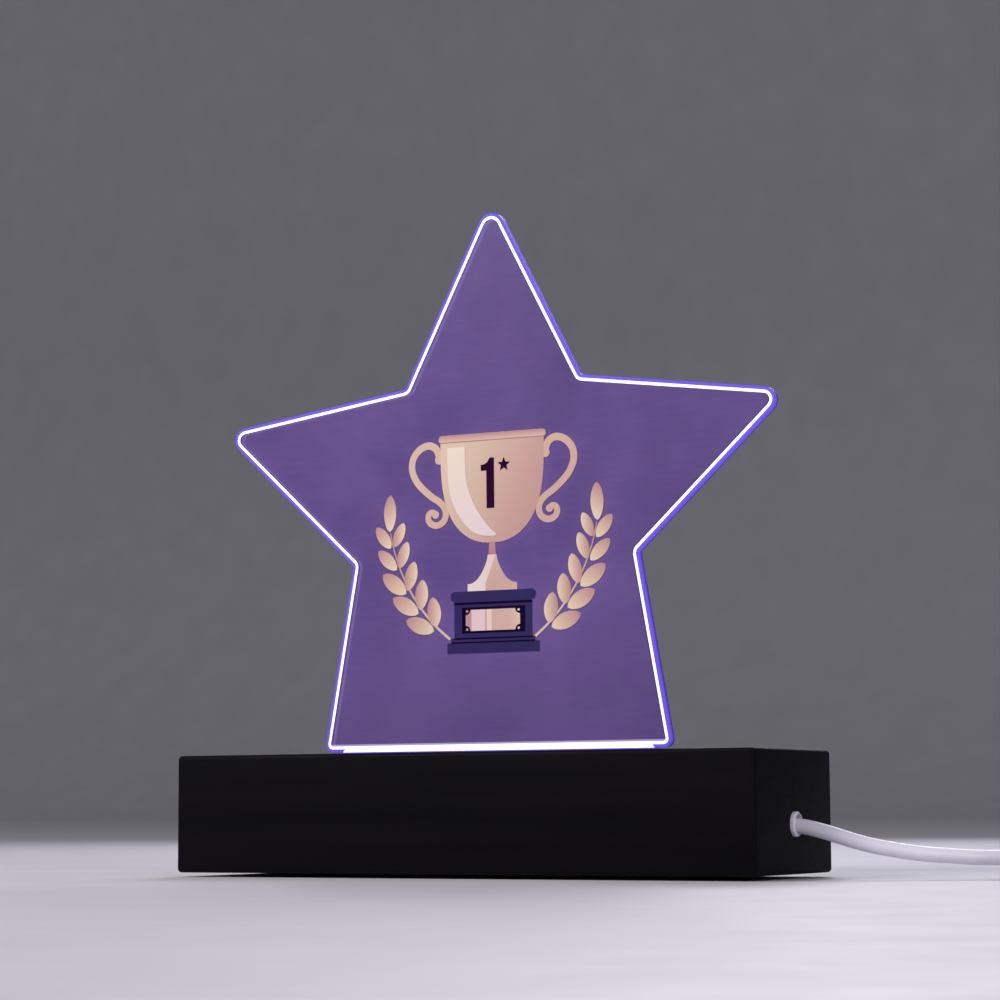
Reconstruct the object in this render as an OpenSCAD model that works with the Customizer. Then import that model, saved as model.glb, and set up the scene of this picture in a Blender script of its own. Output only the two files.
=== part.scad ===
// Star plaque on a wooden light base with a switched USB lead.
// X runs along the base, Y to the back and Z up. The origin is under the middle of the base.

/* [Base] */
// Length of the wooden block
block_l = 150; // [146:1:160]
// Depth of the wooden block
block_d = 45; // [43:1:50]
// Height of the wooden block, without its feet
block_h = 27.8; // [27:0.1:32]
// Height of the rubber feet
foot_h = 1; // [0.6:0.1:2]
// Radius of the block's upright corners
corner_r = 1; // [0.5:0.1:3]
// Length of the slot that holds the panel
slot_l = 84; // [80:1:86]
// Width of the slot
slot_w = 2.4; // [2.3:0.1:5]
// Depth of the slot
slot_depth = 9.3; // [8:0.1:11]

/* [Panel] */
// Thickness of the acrylic
panel_t = 2; // [1.6:0.1:2.1]
// Radius of the circle through the star's points
star_r = 75.8; // [70:0.1:80]
// Inner radius as a share of the outer one
star_share = 0.5; // [0.4:0.01:0.6]
// Widening of the star along X
star_wide = 1.06; // [1:0.01:1.1]
// Height of the star's middle above the table
star_z = 86.2; // [80:0.1:95]
// Shift of the star on its tab, along the base
star_x = -0.3; // [-0.5:0.1:0.5]
// Radius of the top point
top_r = 3.6; // [1:0.1:5]
// Radius of the other rounded points
tip_r = 3; // [1:0.1:5]
// Radius of the rounded inner corners
notch_r = 1; // [0.5:0.1:3]
// Gap between the star's lower edge and the wood
star_gap = 0.7; // [0.4:0.1:2]
// Thickness of one layer of printed ink
ink_t = 0.1; // [0.05:0.01:0.2]

/* [Lead] */
// Diameter of the cord
cord_d = 3.4; // [3:0.1:3.4]
// Height of the cable hole's axis
hole_z = 12.1; // [11:0.1:14]
// Mean radius of the coil's turns
coil_r = 19; // [18:0.1:20]
// Angle from the rocker's on stop to its off stop
rocker_swing = 16; // [10:1:20]

/* [Hidden] */
$fn = 48;
clear = 0.05;             // radial clearance of screws and pins

// Heights inside the base
block_z = foot_h;
block_top = block_z + block_h;
cover_t = 2;
cover_l = 134;
cover_d = 33;
cavity_l = 124;
cavity_d = 25;
cavity_z = block_z + cover_t;
roof_z = 17;              // roof of the cavity, where the board is screwed
slot_floor = block_top - slot_depth;
window_l = slot_l - 8;    // the slot's floor is open between two ledges
window_w = 3.4;
rebate_gap = 0.2;
board_l = 94;
board_w = 12;
board_t = 1.6;
board_screw_x = 43.5;
shank_r = 1;
led_count = 10;
led_pitch = 7.4;
led_h = 0.7;
clamp_x = 50;
clamp_l = 8;
clamp_w = 18;
clamp_z = 9.5;
clamp_screw_y = 6;
jacket_x = 48;            // where the cord's jacket ends inside the base
hole_d = 5.8;
bush_d = 5.6;
bush_bore = 4.6;
cover_screw_at = [64.5, 13.5];
foot_at = [52, 9];

// Lead
cord_r = cord_d / 2;
bore_r = cord_r + clear;
pitch = cord_d + 0.1;
coil_at = [152, 0];
coil_lift = 0.5;          // the coil lies on its tie
coil_columns = 3;
coil_layers = 4;
coil_in = coil_r - coil_columns * pitch / 2;
coil_out = coil_r + coil_columns * pitch / 2;
coil_top = coil_lift + coil_layers * pitch;
entry_z = coil_lift + 1.5 * pitch;
leave_z = coil_lift + 2.5 * pitch;
lead_route = [[jacket_x, 0, 12.1], [56, 0, 12.1], [64, 0, 12.1], [70, 0, 12.05], [76, 0, 11.7],
    [80, 0.2, 10.9], [84, 0.6, 9.8], [88, 1.4, 8.5], [92, 2.4, 7.4], [96, 3.6, 6.6],
    [100, 5.1, 5.9], [104, 6.7, 5.4], [108, 8.5, 5.1], [112, 10.3, 4.8], [116, 12.2, 4.7],
    [120, 14, 4.7], [125, 16.2, 4.8], [131, 18.6, 5.1], [137, 20.5, 5.4], [144, 21.9, 5.6],
    [152, 22.5, 5.7]];
tail_route = [[152, 22.5, 9.2], [160, 22.4, 8.9], [168, 21.4, 7.9], [175, 19, 6.8],
    [180, 17.4, 6.2], [184, 17, 6], [190, 17, 6]];
plug_route = [[216, 17, 6], [221, 17, 6], [225, 17, 5.9], [229.5, 16.6, 5.5], [236, 14, 4.8],
    [240.5, 9, 4.2], [242, 3, 4], [240.5, -3, 4], [236, -8, 4], [229.5, -10.7, 4],
    [225, -11, 4], [220, -11, 4], [215, -11, 4]];

// Switch on the lead
switch_at = [203, 17];
switch_l = 30;
switch_w = 15;
switch_h = 12;
shell_t = 1.5;
pivot_z = 9.5;
rocker_r = 7.2;
rocker_w = 8;
rocker_h = 2.8;
pin_r = 1;
pin_l = 10.6;
boss_at = [11, 3.9];
relief_l = 6;

// Plug
plug_at = [193, -11, 4];   // where the metal shell leaves the moulded body
plug_l = 24;
plug_w = 15.6;
plug_h = 8;
usb_l = 14;
usb_w = 12;
usb_h = 4.5;
usb_t = 0.4;
usb_in = 4;

// Artwork on the panel, in the panel's own X and Z
art_x = 0;
face_y = -panel_t / 2;
plinth_z = 52.4;
cup_z = 78.4;             // bottom of the bowl
rim_z = 103;              // top of the bowl
bowl_w = 13.9;            // half the bowl's width at its rim
handle_w = 1.85;
handle_route = [[14.3, 99], [14.3, 99.8], [14.6, 100.8], [15.5, 102], [17.3, 102.6],
    [19.6, 101.8], [21.3, 99.9], [21.8, 97.7], [21.4, 95.8], [20.3, 93.8], [18.7, 92.1],
    [16.4, 90.2], [14.2, 88.8], [12.9, 87.4], [12.5, 85.7], [13.2, 84], [15, 83.2],
    [16.7, 83.8], [17.35, 85.05], [16.95, 86.15], [16, 86.4], [15.3, 85.8]];
shine_right = [[-7.4, 101.7], [-7.3, 96], [-6.75, 92.3], [-5.2, 88.2], [-3.1, 84.8], [-0.7, 81.9],
    [1, 80.5]];
shine_left = [[0.8, 80.1], [-0.2, 80], [-3.1, 80.3], [-5.9, 81.6], [-8.4, 84.3], [-10.5, 87.7],
    [-11.7, 91.5], [-12.15, 96.3], [-12.2, 101.7]];
branch_at = [-27.7, 82];
branch_r = 42;
branch_turn = 100.5;      // direction of the branch's upper end
branch_l = 31.6;
// Leaves of one side: middle in X and Z, length, width, angle
leaves = [[-27.8, 86.8, 9, 3.3, 89],
    [-29.6, 80.95, 6.6, 2.95, 127.5], [-25.3, 81.45, 6.35, 2.75, 65],
    [-28.5, 75.45, 7.05, 3.1, 136.5], [-24.1, 76.55, 6.75, 2.95, 70],
    [-26.6, 69.6, 8.1, 3.8, 143], [-22, 71.35, 7.3, 3.3, 75],
    [-23.5, 64.25, 8.1, 3.75, 151], [-19.1, 66.75, 7.3, 3.5, 85],
    [-19.55, 59.35, 8.15, 3.75, 159.5], [-15.65, 62.45, 7.3, 3.6, 97]];

// --- shared shapes ---

function unit(v) = v / norm(v);

// Points of a round corner at b, between its neighbours a and c
function round_corner(a, b, c, r, steps) =
    let (u = unit(a - b), v = unit(c - b), half = acos(u * v) / 2,
        mid = b + unit(u + v) * r / sin(half),
        from = b + u * r / tan(half) - mid, to = b + v * r / tan(half) - mid,
        start = atan2(from[1], from[0]), turn = atan2(to[1], to[0]) - start,
        sweep = turn > 180 ? turn - 360 : turn < -180 ? turn + 360 : turn)
    [for (i = [0:steps]) mid + r * [cos(start + sweep * i / steps), sin(start + sweep * i / steps)]];

function rounded(points, radii, steps) =
    let (n = len(points))
    [for (i = [0:n - 1]) each round_corner(points[(i + n - 1) % n], points[i],
        points[(i + 1) % n], radii[i], steps)];

// A smooth curve through points, with steps parts between two of them
function bend(a, b, c, d, t) = 0.5 * (2 * b + t * (c - a) + t * t * (2 * a - 5 * b + 4 * c - d)
    + t * t * t * (3 * b - a - 3 * c + d));

function smooth(p, steps) =
    let (n = len(p))
    [for (i = [0:n - 2], s = [0:steps - 1])
        bend(p[max(i - 1, 0)], p[i], p[i + 1], p[min(i + 2, n - 1)], s / steps), p[n - 1]];

function heading(p, i) = unit(p[min(i + 1, len(p) - 1)] - p[max(i - 1, 0)]);

// A band of the given widths along a flat route
module ribbon(p, w_start, w_end) {
    n = len(p) - 1;
    side = [for (i = [0:n]) let (h = heading(p, i), w = w_start + (w_end - w_start) * i / n)
        [-h[1], h[0]] * w / 2];
    polygon([for (i = [0:n]) p[i] + side[i], for (i = [n:-1:0]) p[i] - side[i]]);
}

// A round tube of 8 sides along a route in space
module tube(p, r) {
    n = len(p);
    sides = 8;
    rings = [for (i = [0:n - 1]) let (h = heading(p, i), u = unit(cross([0, 0, 1], h)),
        v = cross(h, u)) for (k = [0:sides - 1])
        p[i] + r * (u * cos(k * 360 / sides) + v * sin(k * 360 / sides))];
    walls = [for (i = [0:n - 2], k = [0:sides - 1])
        [i * sides + k, (i + 1) * sides + k, (i + 1) * sides + (k + 1) % sides,
            i * sides + (k + 1) % sides]];
    polyhedron(rings, [[for (k = [0:sides - 1]) k], each walls,
        [for (k = [sides - 1:-1:0]) (n - 1) * sides + k]]);
}

// A box centred in X and Y that stands on z
module slab(l, d, z, h) {
    translate([-l / 2, -d / 2, z]) cube([l, d, h]);
}

module rounded_square(l, w, r) {
    polygon(rounded([[-l / 2, -w / 2], [l / 2, -w / 2], [l / 2, w / 2], [-l / 2, w / 2]],
        [r, r, r, r], 6));
}

module at_corners(at) {
    for (x = [-1, 1], y = [-1, 1]) translate([x * at[0], y * at[1], 0]) children();
}

// A countersunk screw with its head at z = 0, pointing up
module screw(head_r, r, l) {
    rotate_extrude() polygon([[0, 0], [head_r, 0], [head_r, 0.2],
        [r, 0.2 + head_r - r], [r, l - r], [0, l]]);
}

module screw_hole(head_r, r, l) {
    rotate_extrude() polygon([[0, -1], [head_r, -1], [head_r, 0.2],
        [r, 0.2 + head_r - r], [r, l], [0, l]]);
}

// --- base ---

module block_plan() {
    polygon(rounded([[-block_l / 2, -block_d / 2], [block_l / 2, -block_d / 2],
        [block_l / 2, block_d / 2], [-block_l / 2, block_d / 2]],
        [corner_r, corner_r, corner_r, corner_r], 6));
}

module wood_block() {
    color("#17121a") difference() {
        translate([0, 0, block_z]) linear_extrude(block_h) block_plan();
        slab(cover_l + 2 * rebate_gap, cover_d + 2 * rebate_gap, 0, cavity_z);
        slab(cavity_l, cavity_d, cavity_z - 1, roof_z - cavity_z + 1);
        slab(slot_l, slot_w, slot_floor, block_top);
        slab(window_l, window_w, roof_z - 1, slot_floor);
        translate([cavity_l / 2 - 1, 0, hole_z]) rotate([0, 90, 0])
            cylinder(d = hole_d, h = block_l);
        at_corners(cover_screw_at) cylinder(r = 1.25 + clear, h = 11);
        for (x = [-1, 1]) translate([x * board_screw_x, 0, roof_z - 1])
            cylinder(r = shank_r + clear, h = 6.5);
        for (y = [-1, 1]) translate([clamp_x + clamp_l / 2, y * clamp_screw_y, roof_z - 1])
            cylinder(r = shank_r + clear, h = 6);
    }
}

module bottom_cover() {
    color("#221d22") difference() {
        slab(cover_l, cover_d, block_z, cover_t);
        at_corners(cover_screw_at) translate([0, 0, block_z]) screw_hole(2.5 + clear, 1.25 + clear, 4);
    }
}

module cover_screws() {
    color("#b8b8bc") at_corners(cover_screw_at) translate([0, 0, block_z]) difference() {
        screw(2.5, 1.25, 9);
        rotate([0, 0, 45]) slab(2.4, 0.6, -1, 1.8);
        rotate([0, 0, 135]) slab(2.4, 0.6, -1, 1.8);
    }
}

module rubber_feet() {
    color("#2a2a2c") at_corners(foot_at) cylinder(d = 10, h = foot_h);
}

module led_board() {
    color("#e9ece8") difference() {
        slab(board_l, board_w, roof_z - board_t, board_t);
        for (x = [-1, 1]) translate([x * board_screw_x, 0, roof_z - board_t - 1])
            cylinder(r = shank_r + clear, h = board_t + 2);
    }
}

module board_screws() {
    color("#b8b8bc") for (x = [-1, 1]) translate([x * board_screw_x, 0, roof_z - board_t - 1.2]) {
        cylinder(r = 2, h = 1.2);
        cylinder(r = shank_r, h = 7.5);
    }
}

module each_led() {
    for (i = [0:led_count - 1]) translate([(i - (led_count - 1) / 2) * led_pitch, 0, roof_z])
        children();
}

module led_packages() {
    color("#f4f4ee") each_led() slab(3.5, 2.8, 0, led_h);
}

module led_lenses() {
    color("#ffe9a0") each_led() translate([0, 0, led_h]) cylinder(r = 1.15, h = 0.3);
}

module resistors() {
    color("#202024") for (x = [-30:15:30]) translate([x, -3, roof_z - board_t - 0.5])
        slab(3.2, 1.6, 0, 0.5);
}

module solder_joints() {
    color("#c9ccd0") for (y = [-1, 1]) translate([35, y * 3, roof_z - board_t - 0.6])
        cylinder(r1 = 0.8, r2 = 1.3, h = 0.6);
}

module wire(side) {
    tube(smooth([[jacket_x - 0.1, side * 0.8, hole_z], [46, side * 0.8, hole_z], [42, side * 1.3, 11.9],
        [38.5, side * 2.2, 12.2], [35.8, side * 2.8, 13.2], [35, side * 3, 14.8]], 3), 0.5);
}

module wire_red() {
    color("#c03028") wire(1);
}

module wire_black() {
    color("#1c1c1e") wire(-1);
}

module cable_clamp() {
    color("#f0f0f0") difference() {
        translate([clamp_x, -clamp_w / 2, clamp_z]) cube([clamp_l, clamp_w, roof_z - clamp_z]);
        translate([clamp_x - 1, 0, hole_z]) rotate([0, 90, 0]) cylinder(r = bore_r, h = clamp_l + 2);
        for (y = [-1, 1]) translate([clamp_x + clamp_l / 2, y * clamp_screw_y, clamp_z - 1])
            cylinder(r = shank_r + clear, h = roof_z);
    }
}

module clamp_screws() {
    color("#b8b8bc") for (y = [-1, 1])
        translate([clamp_x + clamp_l / 2, y * clamp_screw_y, clamp_z - 1.2]) {
            cylinder(r = 1.9, h = 1.2);
            cylinder(r = shank_r, h = 13);
        }
}

module cable_bushing() {
    color("#f2f0f4") translate([0, 0, hole_z]) rotate([0, 90, 0]) rotate_extrude()
        polygon([[bush_bore / 2, 60.5], [4, 60.5], [4, 62], [bush_d / 2, 62],
            [bush_d / 2, block_l / 2 + 0.6], [bush_d / 2 - 0.4, block_l / 2 + 1],
            [bush_bore / 2, block_l / 2 + 1]]);
}

// --- lead ---

module cord_lead() {
    color("#ece8f4") tube(smooth(lead_route, 2), cord_r);
}

module cord_coil() {
    color("#ece8f4") translate([coil_at[0], coil_at[1], 0]) rotate_extrude()
        polygon([[coil_in + 1, coil_lift], [coil_out - 1, coil_lift], [coil_out, coil_lift + 1],
            [coil_out, coil_top - 1], [coil_out - 1, coil_top], [coil_in + 1, coil_top],
            [coil_in, coil_top - 1], [coil_in, coil_lift + 1]]);
}

module coil_tie() {
    t = coil_lift;
    color("#2a2a2e") translate([coil_at[0], coil_at[1] - coil_r, 0]) difference() {
        slab(6, coil_columns * pitch + 2 * t + 0.8, 0, coil_top + t);
        slab(8, coil_columns * pitch + 0.8, t, coil_top - t);
    }
}

module cord_tail() {
    color("#ece8f4") tube(smooth(tail_route, 2), cord_r);
}

module cord_plug_lead() {
    color("#ece8f4") tube(smooth(plug_route, 2), cord_r);
}

module in_switch() {
    translate([switch_at[0], switch_at[1], 0]) children();
}

module switch_plan(inset) {
    rounded_square(switch_l - 2 * inset, switch_w - 2 * inset, 3 - inset);
}

module switch_bores() {
    translate([-switch_l, 0, 6]) rotate([0, 90, 0]) cylinder(r = bore_r, h = 2 * switch_l);
}

module boss_places() {
    for (s = [-1, 1]) translate([s * boss_at[0], s * boss_at[1], 0]) children();
}

module switch_shell_top() {
    color("#f3f2f6") in_switch() difference() {
        union() {
            difference() {
                translate([0, 0, 6]) linear_extrude(6) switch_plan(0);
                translate([0, 0, 5]) linear_extrude(5.5) switch_plan(shell_t);
                slab(2 * rocker_r + 0.5, rocker_w + 0.6, 9, 5);
            }
            for (y = [-1, 1]) translate([0, y * 5.15, 0]) slab(4, 1.7, 7.6, 3);
            boss_places() translate([0, 0, 6]) cylinder(r = 1.8, h = 5);
        }
        switch_bores();
        translate([0, -pin_l / 2 - 0.1, pivot_z]) rotate([-90, 0, 0])
            cylinder(r = pin_r + clear, h = pin_l + 0.2);
        boss_places() cylinder(r = 0.9 + clear, h = 10);
    }
}

module switch_shell_bottom() {
    color("#f3f2f6") in_switch() difference() {
        union() {
            difference() {
                linear_extrude(6) switch_plan(0);
                translate([0, 0, shell_t]) linear_extrude(6) switch_plan(shell_t);
            }
            boss_places() cylinder(r = 1.8, h = 6);
        }
        switch_bores();
        boss_places() screw_hole(1.7 + clear, 0.9 + clear, 8);
    }
}

module switch_screws() {
    color("#b8b8bc") in_switch() boss_places() difference() {
        screw(1.7, 0.9, 9);
        slab(2.4, 0.5, -1, 1.6);
    }
}

module switch_terminals() {
    color("#c9a85a") in_switch() for (s = [-1, 1]) translate([s * 6, 0, 0]) {
        slab(2.4, 4, shell_t, 0.5);
        slab(0.6, 4, shell_t, 3.6);
    }
}

module switch_spring() {
    color("#c9a85a") in_switch() {
        slab(4, 3, shell_t, 0.5);
        slab(0.5, 3, shell_t, 4.6);
        slab(7, 3, 6, 0.4);
    }
}

module switch_reliefs() {
    color("#f3f2f6") in_switch() for (s = [0, 180]) rotate([0, 0, s])
        translate([switch_l / 2, 0, 6]) rotate([0, 90, 0]) difference() {
            cylinder(r1 = 3, r2 = 2.3, h = relief_l);
            translate([0, 0, -1]) cylinder(r = bore_r, h = relief_l + 2);
        }
}

module switch_rocker() {
    turn = rocker_swing / 2;
    end = rocker_r * tan(turn);
    color("#e2e0e8") in_switch() translate([0, 0, pivot_z]) rotate([0, turn, 0]) {
        rotate([90, 0, 0]) translate([0, 0, -rocker_w / 2]) linear_extrude(rocker_w) intersection() {
            circle(r = rocker_r);
            polygon([[-8, -1.2], [8, -1.2], [8, rocker_h + end], [0, rocker_h],
                [-8, rocker_h + end]]);
        }
        rotate([90, 0, 0]) translate([0, 0, -pin_l / 2]) cylinder(r = pin_r, h = pin_l);
    }
}

module plug_body() {
    color("#f3f2f6") translate(plug_at) difference() {
        rotate([90, 0, 90]) linear_extrude(plug_l) rounded_square(plug_w, plug_h, 1.6);
        translate([-1, -usb_w / 2, -usb_h / 2]) cube([usb_in + 1, usb_w, usb_h]);
        translate([plug_l - 3, 0, 0]) rotate([0, 90, 0]) cylinder(r = bore_r, h = 4);
    }
}

module plug_relief() {
    color("#f3f2f6") translate([plug_at[0] + plug_l, plug_at[1], plug_at[2]])
        rotate([0, 90, 0]) rotate_extrude() polygon([[bore_r, 0], [3.4, 0], [3.2, 2], [2.4, 2],
            [2.4, 3], [3, 3], [2.8, 5], [2.3, 5], [2.3, 6], [2.6, 6], [2.4, 8], [bore_r, 8]]);
}

module plug_shell() {
    color("#c8cacf") translate(plug_at) difference() {
        translate([-usb_l, -usb_w / 2, -usb_h / 2]) cube([usb_l + usb_in, usb_w, usb_h]);
        translate([-usb_l - 1, -usb_w / 2 + usb_t, -usb_h / 2 + usb_t])
            cube([usb_l + usb_in + 2, usb_w - 2 * usb_t, usb_h - 2 * usb_t]);
        for (y = [-1, 1]) translate([-usb_l + 6, y * 3 - 1.2, -usb_h])
            cube([2.4, 2.4, 2 * usb_h]);
    }
}

module plug_tongue() {
    color("#e8e8ea") translate(plug_at) translate([1 - usb_l, -5.5, -0.05])
        cube([usb_l + usb_in - 1, 11, usb_h / 2 - usb_t + 0.05]);
}

module plug_contacts() {
    color("#c9a85a") translate(plug_at) for (y = [-3.5, -1, 1, 3.5])
        translate([1.5 - usb_l, y - 0.5, -0.25]) cube([9, 1, 0.2]);
}

// --- plaque ---

function star_corner(i) = let (r = i % 2 == 0 ? star_r : star_r * star_share)
    [-r * sin(36 * i) * star_wide, star_z + r * cos(36 * i)];

// Where the leg from an inner corner to a lower point meets the level z
function leg_foot(from, to, z) = from + (to - from) * (z - from[1]) / (to[1] - from[1]);

module star_plan() {
    foot_z = block_top + star_gap;
    left = leg_foot(star_corner(3), star_corner(4), foot_z);
    right = [-left[0], left[1]];
    translate([star_x, 0]) polygon(rounded([star_corner(0), star_corner(1), star_corner(2),
        star_corner(3), left, right, star_corner(7), star_corner(8), star_corner(9)],
        [top_r, notch_r, tip_r, notch_r, 2, 2, notch_r, tip_r, notch_r], 8));
}

// Stands a flat outline up, with its front depth in front of the panel's face
module upright(front, t) {
    translate([0, face_y - front + t, 0]) rotate([90, 0, 0]) linear_extrude(t) children();
}

module star_panel() {
    tab_l = slot_l - 1;
    color([0.5, 0.4, 0.7, 0.5]) upright(0, panel_t) {
        star_plan();
        translate([-tab_l / 2, slot_floor + clear])
            square([tab_l, block_top + star_gap + 2 - slot_floor - clear]);
    }
}

function bowl_half(z) = bowl_w * pow(1 - pow((rim_z - z) / (rim_z - cup_z), 3.1), 1 / 2.2);

module bowl_plan() {
    levels = [for (i = [0:24]) rim_z - (rim_z - cup_z) * sin(90 * i / 24)];
    polygon([for (z = levels) [bowl_half(z), z], for (i = [23:-1:0]) [-bowl_half(levels[i]), levels[i]]]);
}

module foot_plan() {
    flare = smooth([[1.15, 75.6], [1.55, 73.9], [2.65, 71.6], [3.95, 69.9], [5.3, 69], [6.6, 68.8]], 3);
    polygon([for (p = flare) p, [6.6, plinth_z + 14.7], [-6.6, plinth_z + 14.7],
        for (i = [len(flare) - 1:-1:0]) [-flare[i][0], flare[i][1]]]);
}

module cup_plan() {
    translate([art_x - 0.2, 0]) {
        bowl_plan();
        translate([0, rim_z + 0.8]) rounded_square(28.8, 1.9, 0.9);
        polygon([[-0.75, 79], [0.75, 79], [0.95, 75.4], [-0.95, 75.4]]);
        foot_plan();
    }
}

module handle_plan(side) {
    route = smooth([for (p = handle_route) [side * p[0], p[1]]], 3);
    translate([art_x - 0.2, 0]) {
        ribbon(route, handle_w, handle_w * 0.8);
        translate(route[0]) circle(r = handle_w * 0.6);
        translate(route[len(route) - 1]) circle(r = handle_w * 0.5);
    }
}

module handles_plan() {
    difference() {
        for (s = [-1, 1]) handle_plan(s);
        cup_plan();
    }
}

module plinth_plan() {
    translate([art_x, plinth_z]) {
        translate([0, 1.25]) square([24.7, 2.5], center = true);
        translate([0, 3]) square([22.5, 1.2], center = true);
        translate([0, 8]) square([20.9, 9.2], center = true);
        translate([0, 13.5]) rounded_square(22.8, 2.4, 1);
    }
}

module recess_plan() {
    translate([art_x, plinth_z]) {
        translate([0.1, 7.8]) square([16.8, 6.1], center = true);
        translate([0, 11.8]) square([20.9, 0.5], center = true);
        translate([0, 3.5]) square([20.9, 0.3], center = true);
        translate([0, 2.55]) square([22.5, 0.3], center = true);
    }
}

module plate_plan() {
    half = [7.25, 2.5];
    translate([art_x, plinth_z + 7.75]) {
        difference() {
            square(2 * half, center = true);
            at_corners(half) circle(r = 1.25);
        }
        at_corners(half - [0.35, 0.35]) circle(r = 0.3);
    }
}

module numeral_plan() {
    translate([art_x, 0]) {
        polygon([[-3.1, 95.7], [-3.1, 97.1], [-2.3, 97.15], [-1.4, 97.6], [-0.7, 98.7],
            [0.4, 98.7], [0.45, 86.7], [-1.55, 86.7], [-1.6, 95.7]]);
        translate([3.05, 96.9]) polygon([for (i = [0:9]) let (r = i % 2 == 0 ? 1.7 : 0.75)
            r * [sin(36 * i), cos(36 * i)]]);
    }
}

// A pointed leaf along X around the origin
module leaf(l, w) {
    steps = 14;
    edge = [for (i = [0:steps]) [l * (i / steps - 0.5), w / 2 * pow(sin(180 * i / steps), 0.6)]];
    polygon([for (p = edge) p, for (i = [steps - 1:-1:1]) [edge[i][0], -edge[i][1]]]);
}

function branch_angle(s) = branch_turn + s / branch_r * 180 / PI;
function branch_point(s) = branch_at + branch_r * [sin(branch_turn) - sin(branch_angle(s)),
    cos(branch_angle(s)) - cos(branch_turn)];

module laurel_plan(side) {
    translate([art_x - 0.3, 0]) scale([-side, 1]) {
        ribbon([for (i = [0:16]) branch_point(i * branch_l / 16)], 0.24, 0.6);
        for (p = leaves) translate([p[0], p[1]]) rotate(p[4]) leaf(p[2], p[3]);
    }
}

module print_white() {
    color("#f4f0f6") upright(ink_t, ink_t) {
        cup_plan();
        for (s = [-1, 1]) handle_plan(s);
        plinth_plan();
        for (s = [-1, 1]) laurel_plan(s);
    }
}

module print_cup() {
    color("#dbb0a4") upright(2 * ink_t, ink_t) cup_plan();
}

module print_handles() {
    color("#dcb79e") upright(2 * ink_t, ink_t) handles_plan();
}

module print_plinth() {
    color("#2d2462") upright(2 * ink_t, ink_t) plinth_plan();
}

module print_shine() {
    color("#efdccb") upright(3 * ink_t, ink_t) translate([art_x, 0])
        polygon(concat(smooth(shine_right, 3), smooth(shine_left, 3)));
}

module print_numeral() {
    color("#23052e") upright(3 * ink_t, ink_t) numeral_plan();
}

module print_recess() {
    color("#150838") upright(3 * ink_t, ink_t) recess_plan();
}

module print_nameplate() {
    color("#e2b9a2") upright(4 * ink_t, ink_t) plate_plan();
}

module print_laurel_left() {
    color("#e3c3a0") upright(2 * ink_t, ink_t) laurel_plan(-1);
}

module print_laurel_right() {
    color("#e3c3a0") upright(2 * ink_t, ink_t) laurel_plan(1);
}

wood_block();
bottom_cover();
cover_screws();
rubber_feet();
led_board();
board_screws();
led_packages();
led_lenses();
resistors();
solder_joints();
wire_red();
wire_black();
cable_clamp();
clamp_screws();
cable_bushing();
cord_lead();
cord_coil();
coil_tie();
cord_tail();
switch_shell_top();
switch_shell_bottom();
switch_screws();
switch_terminals();
switch_spring();
switch_reliefs();
switch_rocker();
cord_plug_lead();
plug_body();
plug_relief();
plug_shell();
plug_tongue();
plug_contacts();
star_panel();
print_white();
print_cup();
print_handles();
print_shine();
print_numeral();
print_plinth();
print_recess();
print_nameplate();
print_laurel_left();
print_laurel_right();
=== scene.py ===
import math
import bpy
from mathutils import Euler, Matrix, Vector


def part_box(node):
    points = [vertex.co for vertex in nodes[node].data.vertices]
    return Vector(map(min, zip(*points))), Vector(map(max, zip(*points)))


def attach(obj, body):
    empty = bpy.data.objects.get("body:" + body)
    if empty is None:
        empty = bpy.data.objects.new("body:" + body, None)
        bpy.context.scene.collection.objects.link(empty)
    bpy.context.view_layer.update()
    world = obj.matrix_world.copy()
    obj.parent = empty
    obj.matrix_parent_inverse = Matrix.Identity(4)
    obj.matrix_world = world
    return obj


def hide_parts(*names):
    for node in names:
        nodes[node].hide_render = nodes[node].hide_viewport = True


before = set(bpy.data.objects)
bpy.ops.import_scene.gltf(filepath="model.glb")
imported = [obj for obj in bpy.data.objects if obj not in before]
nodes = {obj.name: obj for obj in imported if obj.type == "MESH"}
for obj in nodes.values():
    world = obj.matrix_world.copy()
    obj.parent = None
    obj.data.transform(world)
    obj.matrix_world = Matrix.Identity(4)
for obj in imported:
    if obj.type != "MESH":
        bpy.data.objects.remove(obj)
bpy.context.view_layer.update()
mm = 0.001

# stands to the right of the object and looks a little upwards
camera = {
    "lens": 99.76,
    "place": (308, -576.7, 16),
    "turn": 28,  # degrees to the right of the front
    "tilt": 6.34,  # degrees upwards
    "roll": -0.29,
}

lens = bpy.data.cameras.new("camera")
lens.lens = camera["lens"]
lens.sensor_width = 36
lens.clip_start = 0.01
cameraObject = bpy.data.objects.new("camera", lens)
bpy.context.scene.collection.objects.link(cameraObject)
aim = Euler((math.radians(90 + camera["tilt"]), 0, math.radians(camera["turn"]))).to_matrix().to_4x4()
aim = aim @ Matrix.Rotation(math.radians(camera["roll"]), 4, "Z")
cameraObject.matrix_world = Matrix.Translation(Vector(camera["place"]) * mm) @ aim
bpy.context.scene.camera = cameraObject
bpy.context.scene.view_settings.view_transform = "Standard"


def nothingSelected():
    if bpy.context.object and bpy.context.object.mode != "OBJECT":
        bpy.ops.object.mode_set(mode="OBJECT")
    bpy.ops.object.select_all(action="DESELECT")


def workOn(piece):
    nothingSelected()
    piece.select_set(True)
    bpy.context.view_layer.objects.active = piece


def editMode(kind):
    bpy.ops.object.mode_set(mode="EDIT")
    bpy.ops.mesh.select_mode(type=kind)


def objectMode():
    bpy.ops.object.mode_set(mode="OBJECT")


def selectAll(kind):
    editMode(kind)
    bpy.ops.mesh.select_all(action="SELECT")


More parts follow.
